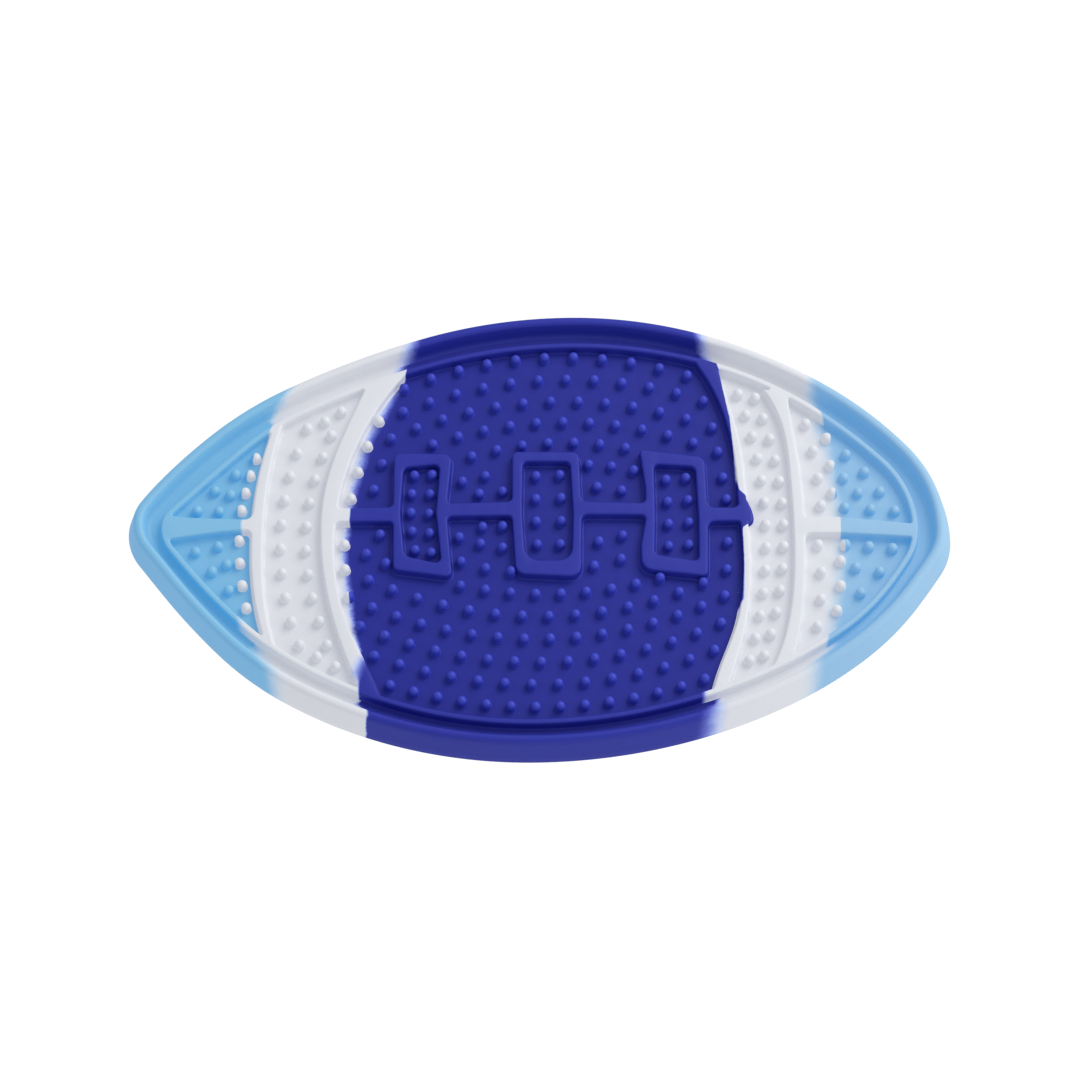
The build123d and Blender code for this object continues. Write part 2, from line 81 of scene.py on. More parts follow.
# Rim section: inset from the outer edge, height; closed, starting at the foot.
RIM_SECTION = [
    (0.45, 0.0), (0.16, 0.05), (0.03, 0.2), (0.0, 0.45), (0.55, 2.7), (1.05, 4.8), (1.55, 6.9),
    (1.92, 8.4), (2.12, 9.1), (2.32, 9.62), (2.6, 10.04), (2.97, 10.32), (3.4, 10.46),
    (3.9, 10.48), (4.45, 10.42), (4.87, 10.15), (5.14, 9.6), (5.34, 8.7), (5.53, 7.6),
    (5.74, 6.75), (5.98, 6.18), (6.28, 5.75), (6.64, 5.47), (7.0, 5.33), (7.4, FLOOR_TOP),
    (7.4, FLOOR_UNDERSIDE), (3.7, FLOOR_UNDERSIDE), (3.35, 3.4), (3.2, 3.1), (2.95, 1.6),
    (2.74, 0.2), (2.55, 0.0),
]
# Ridge section: how far out from the CAD outline (in is negative), height.
RIDGE_SECTION = [
    (0.5, FLOOR_TOP - 0.3), (0.5, FLOOR_TOP), (0.3, FLOOR_TOP + 0.04), (0.14, FLOOR_TOP + 0.14),
    (0.05, FLOOR_TOP + 0.32), (0.0, FLOOR_TOP + 0.6), (-0.1, RIDGE_TOP - 0.85),
    (-0.17, RIDGE_TOP - 0.5), (-0.28, RIDGE_TOP - 0.24), (-0.45, RIDGE_TOP - 0.08),
    (-0.64, RIDGE_TOP - 0.01), (-0.74, RIDGE_TOP),
]
# Nub section: radius, height above the floor.
NUB_SECTION = [
    (1.72, -0.3), (1.72, -0.01), (1.65, 0.04), (1.6, 0.12), (1.58, 0.28), (1.57, 0.9),
    (1.54, 1.45), (1.49, 1.88), (1.37, 2.27), (1.19, 2.61), (0.95, 2.88), (0.66, 3.07),
    (0.34, 3.17), (0.0, 3.2),
]
# Suction cup section: radius, height; from the stem's top, down over the lip and up inside.
CUP_SECTION = [
    (0.0, 3.5), (5.6, 3.5), (5.15, 3.38), (4.95, 3.15), (5.1, 2.9), (5.9, 2.35), (7.1, 1.45),
    (8.2, 0.65), (8.86, 0.18), (8.98, 0.05), (8.9, 0.0), (8.62, 0.0), (8.2, 0.1), (7.3, 0.75),
    (6.0, 1.6), (4.6, 2.2), (3.0, 2.45), (1.2, 2.5), (0.0, 2.5),
]

# Where a colour changes, as stations across the mat: y, x, and how softly. One list for each
# joint, from the left tip to the right one.
RIM_COLOURS = [
    [(-60, -77, 7), (-45, -80, 8), (-38, -84.5, 8), (-30, -86, 6), (0, -88, 3), (36, -86, 3),
     (41, -83, 3.5), (50, -76.5, 4), (60, -71, 4)],
    [(-72, -54.3, .8), (-65, -52.8, .8), (-58, -51.2, 1), (-54, -55, 3), (0, -58, 4),
     (52, -47, 5), (57, -44, 7), (61, -42, 7), (65, -40, 6), (74, -37, 5)],
    [(-72, 49, 12), (-65, 51, 12), (-55, 53, 8), (0, 56, 3), (58, 52.5, 3), (62, 52, 5),
     (68, 49.7, 6), (76, 48.5, 4)],
    [(-55, 80.8, 9), (-45, 81.3, 9), (-40, 82, 8), (-34, 87, 7), (0, 92, 3), (40, 87, 4),
     (45, 84.5, 5), (50, 83, 6), (56, 83.5, 5), (60, 83, 4)],
]
RIDGE_COLOURS = [
    [(-45, -82, 4), (-36, -86, 4), (-30, -90, 4), (-22, -91, 3), (-4, -90.5, 1.2),
     (4, -91.2, 1.2), (12, -90, .8), (30, -86.4, .6), (33, -84.6, .6), (36, -83.4, .6),
     (38.3, -82.2, .6), (45, -80, .6)],
    [(-62, -58, .8), (-52, -54.4, .8), (-48, -54.6, 1.4), (-45, -55.4, 6), (-40, -53.6, 5),
     (-36, -49, 4), (-30, -46.4, 3), (-25, -50, 2), (-8, -58, .8), (3, -58.3, .6),
     (14, -58, .6), (22, -52, .6), (35, -49, .6),
     (50, -43.4, .5), (58, -41.3, .5), (66, -40.5, .5)],
    [(-56, 49.2, 2.5), (-44, 49, 2.5), (-32, 52, 2.5), (-26, 57.5, 2), (-21, 61.4, 1),
     (-10, 61.9, .4), (3, 61.7, .35), (4.6, 63.8, .35), (6.6, 66, .35), (9.4, 66, .35),
     (13.2, 63.6, .35), (15.8, 60.8, .35), (20, 60, .35), (30, 59.3, .35), (40, 58.4, .35),
     (50, 56.5, .35), (57, 55.5, .35), (60, 54.5, .5)],
    [(-45, 84, 1.5), (-31, 87, 1.5), (-20, 90, 1), (0, 91.5, .35), (8, 91.5, .35), (20, 90, .6),
     (40, 87.3, .8), (50, 84, .8)],
]
FLOOR_COLOURS = [
    [(-50, -81, 6), (-42, -82.5, 6), (-36, -84.5, 5), (-30, -85, 1), (-20, -85, .5),
     (-3, -86.4, .5), (18, -85.2, .5), (37, -81, .8), (41, -83, 3), (50, -80, 3)],
    [(-60, -55, 2), (-54, -55, 2), (-48, -50, 2), (-40, -54, 2), (-25, -57.4, 3.5),
     (-15, -58.6, 4), (-5, -60, 3.5), (10, -58.6, 4), (25, -55.8, 5.5), (35, -53.2, 6),
     (50, -45.5, 5.5), (57, -44.5, 5), (66, -41, 5)],
    [(-60, 51, 5), (-50, 54, 2), (-40, 57, .5), (-29, 60, .5), (-12, 62.4, .5), (10, 61.5, .5),
     (32, 60, .5), (50, 55.4, .5), (57, 52.5, 2), (62, 52, 5), (70, 50, 5)],
    [(-45, 86, 7), (-36, 87, 7), (-27, 88, 7), (-15, 90, 7), (-5, 91, 7), (10, 90.5, 7),
     (20, 89, 7), (30, 88, 7), (38, 85.2, 6), (44, 85, 5), (52, 82, 5)],
]
NUB_COLOURS = [
    [(-30, -90, .4), (-23, -90.6, .4), (-12, -92.6, .4), (0, -93.2, .4), (9.6, -92.5, .4),
     (15.6, -91.3, .4), (21.5, -89.8, .4), (27.3, -88, .4), (40, -84, .4)],
    [(-48, -52, .5), (-29, -57, .5), (-19.4, -58, .5), (-10.3, -57.6, .3), (-2, -57.8, .3),
     (13.6, -56.1, .3), (22.7, -53.6, .3), (31, -50.6, .3), (40, -47.8, .3), (60, -44, .3)],
    [(-50, 56, .5), (-20, 59, .5), (20, 59.2, .5), (55, 56, .5)],
    [(-30, 89.6, .5), (-24, 91.7, .5), (-15, 93.1, .5), (-7, 93.3, .5), (-2, 92.6, .5),
     (5, 91, .5), (8.5, 90, .5), (13, 90, .4), (15.6, 90.2, .4), (25, 90.3, .4), (34.3, 89.4, .4),
     (45, 88, .4)],
]
Y_SPAN = 80.0                        # the colour curves cover y from -80 to 80
X_SPAN = 130.0                       # and x from -130 to 130
SOFT_SPAN = 10.0                     # and hold softness as a share of this

# Colours are sRGB, 0 to 255. The light blues and the white are drawn darker, and WHITE_GLOW and
# BLUE_GLOW paint light on them: a glow (emission) that lifts their shade, standing in for light
# spread inside the silicone.
LEFT_BLUE = (130, 166, 164)
RIGHT_BLUE = (146, 168, 165)
WHITE = (188, 189, 190)
ROYAL = (30, 38, 146)                # the floor's; rim, ridges and nubs get lighter copies of it, painted light for how their raised tops catch more light
LIT_RIM_ROYAL = (39, 48, 158)
LIT_RIDGE_ROYAL = (38, 46, 154)
LIT_NUB_ROYAL = (56, 66, 184)
# White turns into royal through these, at shares of the way across a joint.
BLEED = [(0.3, (165, 178, 218)), (0.55, (118, 138, 212)), (0.8, (66, 80, 190))]
# Painted glow: the colour and strength of the light that the whites and the light blues emit,
# though they are no lamp.
WHITE_GLOW = (221, 224, 240)
WHITE_GLOW_STRENGTH = 0.3
BLUE_GLOW = (12, 119, 198)
BLUE_GLOW_STRENGTH = 0.66
# Noise, by what it does: scale in turns per metre, detail.
WANDER_NOISE = (260, 3)              # moves a joint slowly
FRAY_NOISE = (1100, 3)               # and frays it
CLOUD_NOISE = (45, 4)                # pigment not fully mixed in
SHEEN_NOISE = (500, 4)
GRAIN_NOISE = (2600, 5)
WAVE_NOISE = (120, 2)
WANDER, FRAY = 3.0, 1.6              # the width they move a joint over when ragged is 1, mm
CLOUD_DEPTH = 0.10
SHEEN_DEPTH = 0.12
GRAIN_STRENGTH, GRAIN_HEIGHT = 0.35, 0.00006
WAVE_STRENGTH, WAVE_HEIGHT = 0.5, 0.0004
SILICONE_IOR = 1.41
SPECULAR_LEVEL = 0.35


# ------------------------------------------------------------------ plan curves
def arc_points(start, heading, end, step):
    """Points and inward normals along the left-turning arc that leaves start at heading."""
    chord = np.subtract(end, start)
    normal = np.array([-math.sin(heading), math.cos(heading)])
    ahead = np.array([math.cos(heading), math.sin(heading)])
    sideways = float(chord @ normal)
    radius = float(chord @ chord) / (2 * sideways)
    centre = np.array(start) + radius * normal
    sweep = 2 * math.atan2(sideways, float(chord @ ahead))
    count = max(3, int(abs(radius * sweep) / step))
    angle = heading - math.pi / 2 + sweep * np.arange(count) / count
    outward = np.stack([np.cos(angle), np.sin(angle)], 1)
    return centre + radius * outward, -outward


def outline_points(stations, step=OUTLINE_STEP):
    """A closed outline of tangent arcs, as points and inward normals, in the frame."""
    points, normals = [], []
    for start, end in zip(stations, stations[1:] + stations[:1]):
        turn_in, turn_out = math.radians(start[2]), math.radians(end[2])
        chord = (end[0] - start[0], end[1] - start[1])
        both = (math.cos(turn_in) + math.cos(turn_out), math.sin(turn_in) + math.sin(turn_out))
        along = chord[0] * both[0] + chord[1] * both[1]
        open_turn = 2 * (1 - math.cos(turn_out - turn_in))
        length2 = chord[0] ** 2 + chord[1] ** 2
        reach = (math.sqrt(along ** 2 + open_turn * length2) - along) / open_turn
        before = (start[0] + reach * math.cos(turn_in), start[1] + reach * math.sin(turn_in))
        after = (end[0] - reach * math.cos(turn_out), end[1] - reach * math.sin(turn_out))
        middle = ((before[0] + after[0]) / 2, (before[1] + after[1]) / 2)
        heading = math.atan2(after[1] - before[1], after[0] - before[0])
        for leg in ((start[:2], turn_in, middle), (middle, heading, end[:2])):
            leg_points, leg_normals = arc_points(*leg, step)
            points.append(leg_points)
            normals.append(leg_normals)
    return np.concatenate(points) + DRAWING_SHIFT, np.concatenate(normals)


def joint_x(joint, y):
    """Where a joint crosses y (drawing coordinates): an arc, run on along Y past its ends."""
    (x1, y1), (x2, y2), (x3, y3) = joint
    across = 2 * (x1 * (y2 - y3) + x2 * (y3 - y1) + x3 * (y1 - y2))
    s1, s2, s3 = x1 ** 2 + y1 ** 2, x2 ** 2 + y2 ** 2, x3 ** 2 + y3 ** 2
    centre_x = (s1 * (y2 - y3) + s2 * (y3 - y1) + s3 * (y1 - y2)) / across
    centre_y = (s1 * (x3 - x2) + s2 * (x1 - x3) + s3 * (x2 - x1)) / across
    radius = math.hypot(x2 - centre_x, y2 - centre_y)
    side = 1 if x2 > centre_x else -1
    y = np.clip(y, y1, y3)
    return centre_x + side * np.sqrt(radius ** 2 - (y - centre_y) ** 2)


# ------------------------------------------------------------------ meshes
def make_mesh(name, points, faces, smooth_angle=38.0):
    """A smooth-shaded object from points in mm, sharp where faces meet at more than the angle."""
    mesh = bpy.data.meshes.new(name)
    mesh.from_pydata([tuple(p) for p in np.asarray(points) * MM], [], faces)
    mesh.validate()
    mesh.polygons.foreach_set("use_smooth", [True] * len(mesh.polygons))
    mesh.set_sharp_from_angle(angle=math.radians(smooth_angle))
    mesh.update()
    thing = bpy.data.objects.new(name, mesh)
    bpy.context.scene.collection.objects.link(thing)
    return thing


def loft_rim():
    """The rim, as one object for each blank, with closed ends that are flush at the joints."""
    base, normals = outline_points(RIM_OUTLINE)
    count = len(base)
    crossings = {}
    for inset in sorted({section[0] for section in RIM_SECTION}):
        curve = base + normals * inset
        drawn = curve - DRAWING_SHIFT
        for number, joint in enumerate(BLANK_JOINTS):
            side = drawn[:, 0] - joint_x(joint, drawn[:, 1])
            found = []
            for i in range(count):
                j = (i + 1) % count
                if (side[i] > 0) != (side[j] > 0):
                    found.append(i + side[i] / (side[i] - side[j]))
            crossings[number, inset] = (min(found), max(found))
    steps = np.arange(count + 1)
    closed_base = np.vstack([base, base[:1]])
    closed_normals = np.vstack([normals, normals[:1]])

    def at(where, inset):
        where = np.mod(where, count)
        point = [np.interp(where, steps, closed_base[:, k]) for k in (0, 1)]
        turn = [np.interp(where, steps, closed_normals[:, k]) for k in (0, 1)]
        return np.stack([point[0] + turn[0] * inset, point[1] + turn[1] * inset], 1)

    spans = {
        "left_tip": [((0, 0, 0), (0, 1, 0))],
        "left_band": [((1, 0, 0), (0, 0, 0)), ((0, 1, 0), (1, 1, 0))],
        "centre": [((2, 0, 0), (1, 0, 0)), ((1, 1, 0), (2, 1, 0))],
        "right_band": [((3, 0, 0), (2, 0, 0)), ((2, 1, 0), (3, 1, 0))],
        "right_tip": [((3, 1, -count), (3, 0, 0))],
    }
    made = {}
    for blank, parts in spans.items():
        points, faces = [], []
        for first, last in parts:
            offset = len(points)
            start = crossings[first[0], 0.0][first[1]] + first[2]
            end = crossings[last[0], 0.0][last[1]] + last[2]
            stations = max(8, int((end - start) * OUTLINE_STEP / RIM_STATION))
            share = np.arange(stations + 1) / stations
            columns = []
            for inset, height in RIM_SECTION:
                low = crossings[first[0], inset][first[1]] + first[2]
                high = crossings[last[0], inset][last[1]] + last[2]
                plan = at(low + (high - low) * share, inset)
                columns.append(np.column_stack([plan, np.full(len(plan), height)]))
            around = len(RIM_SECTION)
            block = np.stack(columns, 1).reshape(-1, 3)
            points.extend(block)
            for i in range(stations):
                for j in range(around):
                    k = (j + 1) % around
                    a, b = offset + i * around, offset + (i + 1) * around
                    faces.append((a + j, b + j, b + k, a + k))
            faces.append(tuple(offset + j for j in range(around)))
            faces.append(tuple(offset + stations * around + j for j in reversed(range(around))))
        made[blank] = make_mesh(blank + "_rim_skin", points, faces)
    return made


def lathe(centres, section, floor, segments, stretch=None):
    """One closed turned shape at each centre."""
    angle = 2 * math.pi * np.arange(segments) / segments
    ring = np.stack([np.cos(angle), np.sin(angle)], 1)
    points, faces = [], []
    for number, (x, y) in enumerate(centres):
        wide, tall = stretch[number] if stretch else (1.0, 1.0)
        rings = []
        for radius, height in section:
            height = floor + (height * tall if height > FOOT_HEIGHT else height)
            if radius == 0:
                rings.append([len(points)])
                points.append((x, y, height))
            else:
                rings.append(list(range(len(points), len(points) + segments)))
                points.extend((x + radius * wide * c, y + radius * wide * s, height)
                              for c, s in ring)
        if len(rings[0]) > 1:
            faces.append(tuple(reversed(rings[0])))
        for low, high in zip(rings, rings[1:]):
            for i in range(segments):
                j = (i + 1) % segments
                if len(high) == 1:
                    faces.append((low[i], low[j], high[0]))
                elif len(low) == 1:
                    faces.append((low[0], high[j], high[i]))
                else:
                    faces.append((low[i], low[j], high[j], high[i]))
        if len(rings[-1]) > 1:
            faces.append(tuple(rings[-1]))
    return points, faces


def part_centres(node, height):
    """Plan centres of the nubs of a CAD node, from the vertices at the height of their tops."""
    found = []
    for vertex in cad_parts[node].data.vertices:
        x, y, z = (value / MM for value in vertex.co)
        if abs(z - height) < 0.01:
            for group in found:
                if abs(group[0] - x) < NUB_REACH and abs(group[1] - y) < NUB_REACH:
                    break
            else:
                found.append((x, y))
    return found


# ------------------------------------------------------------------ ridges
def top_loops(node):
    """The outlines of a CAD node's top face, each with the solid on its left."""
    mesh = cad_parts[node].data
    key = {}
    index = []
    for vertex in mesh.vertices:
        place = tuple(round(value / MM, 3) for value in vertex.co)
        index.append(key.setdefault(place, len(key)))
    places = list(key)
    edges = {}
    for polygon in mesh.polygons:
        corners = [index[v] for v in polygon.vertices]
        if all(abs(places[c][2] - RIDGE_TOP) < 0.002 for c in corners):
            a, b, c = (np.array(places[k][:2]) for k in corners[:3])
            turn = (b[0] - a[0]) * (c[1] - a[1]) - (b[1] - a[1]) * (c[0] - a[0])
            if turn < 0:
                corners.reverse()
            for p, q in zip(corners, corners[1:] + corners[:1]):
                if (q, p) in edges:
                    del edges[q, p]
                else:
                    edges[p, q] = True
    follow = {}
    for p, q in edges:
        follow.setdefault(p, []).append(q)
    loops = []
    while follow:
        start = next(iter(follow))
        loop, here = [start], follow[start].pop()
        while here != start:
            loop.append(here)
            here = follow[here].pop()
        follow = {p: q for p, q in follow.items() if q}
        loops.append(np.array([places[k][:2] for k in loop]))
    return loops


def resample(path, spacing, closed):
    """Evenly spaced points along a polyline."""
    if closed:
        path = np.vstack([path, path[:1]])
    lengths = np.hypot(*np.diff(path, axis=0).T)
    along = np.concatenate([[0], np.cumsum(lengths)])
    count = max(2, int(round(along[-1] / spacing)))
    where = np.linspace(0, along[-1], count + 1)
    if closed:
        where = where[:-1]
    return np.stack([np.interp(where, along, path[:, k]) for k in (0, 1)], 1)


def inside(points, loops):
    """Whether each point is inside the area that the loops bound."""
    count = np.zeros(len(points), int)
    for loop in loops:
        a, b = loop, np.roll(loop, -1, 0)
        for i in range(0, len(points), 2000):
            x, y = points[i:i + 2000, 0, None], points[i:i + 2000, 1, None]
            spans = (a[:, 1] > y) != (b[:, 1] > y)
            rise = np.where(b[:, 1] == a[:, 1], 1e-9, b[:, 1] - a[:, 1])
            cross = a[:, 0] + (y - a[:, 1]) / rise * (b[:, 0] - a[:, 0])
            count[i:i + 2000] += (spans & (x < cross)).sum(1)
    return count % 2 == 1


def network_loops(nodes):
    """The outlines of all ridge nodes together."""
    loops = {node: top_loops(node) for node in nodes}
    runs = []
    for node in nodes:
        others = [loop for other in nodes if other != node for loop in loops[other]]
        for loop in loops[node]:
            path = resample(loop, LOOP_STEP, True)
            step = np.roll(path, -1, 0) - path
            length = np.hypot(*step.T)[:, None] + 1e-9
            outside = np.stack([step[:, 1], -step[:, 0]], 1) / length
            middle = path + step / 2 + outside * JUST_OUTSIDE
            free = ~inside(middle, others)
            if free.all():
                runs.append(np.vstack([path, path[:1]]))
                continue
            first = int(np.argmin(free))
            order = np.roll(np.arange(len(path)), -first)
            run = []
            for i in order:
                if free[i]:
                    if not run:
                        run = [path[i]]
                    run.append(path[(i + 1) % len(path)])
                elif run:
                    runs.append(np.array(run))
                    run = []
            if run:
                runs.append(np.array(run))
    chained = []
    runs = [run for run in runs if len(run) > 1]
    while runs:
        chain = list(runs.pop(0))
        while np.hypot(*(chain[-1] - chain[0])) > LOOP_GAP or len(chain) < 4:
            gaps = [np.hypot(*(run[0] - chain[-1])) for run in runs]
            to_start = np.hypot(*(chain[-1] - chain[0]))
            if not gaps or to_start <= min(gaps):
                break
            nearest = int(np.argmin(gaps))
            chain.extend(runs.pop(nearest))
        chain = np.array(chain)
        if len(chain) > SHORTEST_LOOP:
            chained.append(chain)
    return chained


def smooth_loop(chain):
    """A chain of points as an even closed loop, rounded where it jumps."""
    loop = resample(chain, LOOP_STEP, True)
    for _ in range(LOOP_SMOOTHINGS):
        loop = (np.roll(loop, 1, 0) + 2 * loop + np.roll(loop, -1, 0)) / 4
    return resample(loop, RIDGE_STATION, True)


def inward_normals(loop):
    step = np.roll(loop, -1, 0) - np.roll(loop, 1, 0)
    step /= np.hypot(*step.T)[:, None] + 1e-12
    return np.stack([-step[:, 1], step[:, 0]], 1)


def nearest_gap(points, others):
    """Distance from each point to the nearest of the others."""
    square = (others ** 2).sum(1)
    nearest = np.empty(len(points))
    for i in range(0, len(points), 500):
        some = points[i:i + 500]
        gap2 = square - 2 * some @ others.T + (some ** 2).sum(1)[:, None]
        nearest[i:i + 500] = np.sqrt(np.maximum(gap2.min(1), 0))
    return nearest


def offset_loop(loop, normals, inset, outline):
    """The loop drawn in by inset, with points that crossed over laid between their neighbours."""
    moved = loop + normals * inset
    if abs(inset) < SMALL_INSET:
        return moved
    good = nearest_gap(moved, outline) > abs(inset) * INSET_SLACK
    if good.all() or not good.any():
        return moved
    kept = np.flatnonzero(good)
    count = len(loop)
    wrapped = np.concatenate([kept - count, kept, kept + count])
    values = moved[wrapped % count]
    where = np.arange(count)
    return np.stack([np.interp(where, wrapped, values[:, k]) for k in (0, 1)], 1)


def cap_triangles(points, ring):
    """Triangles that fill the area between the loops of a ring, as point numbers, turning left."""
    members = [k for start, count in ring for k in range(start, start + count)]
    place = {k: n for n, k in enumerate(members)}
    plan = [Vector((points[k][0], points[k][1])) for k in members]
    rim = [(place[start + i], place[start + (i + 1) % count])
           for start, count in ring for i in range(count)]
    _, edges, triangles, origins, edge_origins, _ = geometry.delaunay_2d_cdt(
        plan, rim, [], 0, 1e-7)
    walls = {frozenset(edge) for edge, origin in zip(edges, edge_origins) if origin}
    beside = {}
    for number, triangle in enumerate(triangles):
        for i in range(3):
            edge = frozenset((triangle[i], triangle[(i + 1) % 3]))
            beside.setdefault(edge, []).append(number)
    filled = {}
    waiting = []
    for edge, owners in beside.items():
        if len(owners) == 1:
            waiting.append((owners[0], edge in walls))
    while waiting:
        number, state = waiting.pop()
        if number in filled:
            continue
        filled[number] = state
        triangle = triangles[number]
        for i in range(3):
            edge = frozenset((triangle[i], triangle[(i + 1) % 3]))
            for other in beside[edge]:
                if other not in filled:
                    waiting.append((other, state != (edge in walls)))
    return [tuple(members[origins[k][0]] for k in triangle)
            for number, triangle in enumerate(triangles) if filled[number]]


def ridge_skin(nodes):
    """All ridges as one closed mesh: the section swept along every outline, and two caps."""
    loops = [smooth_loop(chain) for chain in network_loops(nodes)]
    outline = np.vstack(loops)
    normals = [inward_normals(loop) for loop in loops]
    points, faces, rings = [], [], []
    for out, height in RIDGE_SECTION:
        ring = []
        for loop, normal in zip(loops, normals):
            plan = offset_loop(loop, normal, -out, outline)
            ring.append((len(points), len(plan)))
            points.extend(np.column_stack([plan, np.full(len(plan), height)]))
        rings.append(ring)
    for low, high in zip(rings, rings[1:]):
        for (a, count), (b, _) in zip(low, high):
            for i in range(count):
                j = (i + 1) % count
                faces.append((a + i, a + j, b + j, b + i))
    faces += cap_triangles(points, rings[-1])
    faces += [triangle[::-1] for triangle in cap_triangles(points, rings[0])]
    return make_mesh("ridge_network", points, faces, smooth_angle=50.0)


# ------------------------------------------------------------------ materials
def linear(colour):
    """An sRGB colour, 0 to 255, as the linear values that a socket takes."""
    values = []
    for value in colour:
        value /= 255
        values.append(value / 12.92 if value <= 0.04045 else ((value + 0.055) / 1.055) ** 2.4)
    return (*values, 1.0)


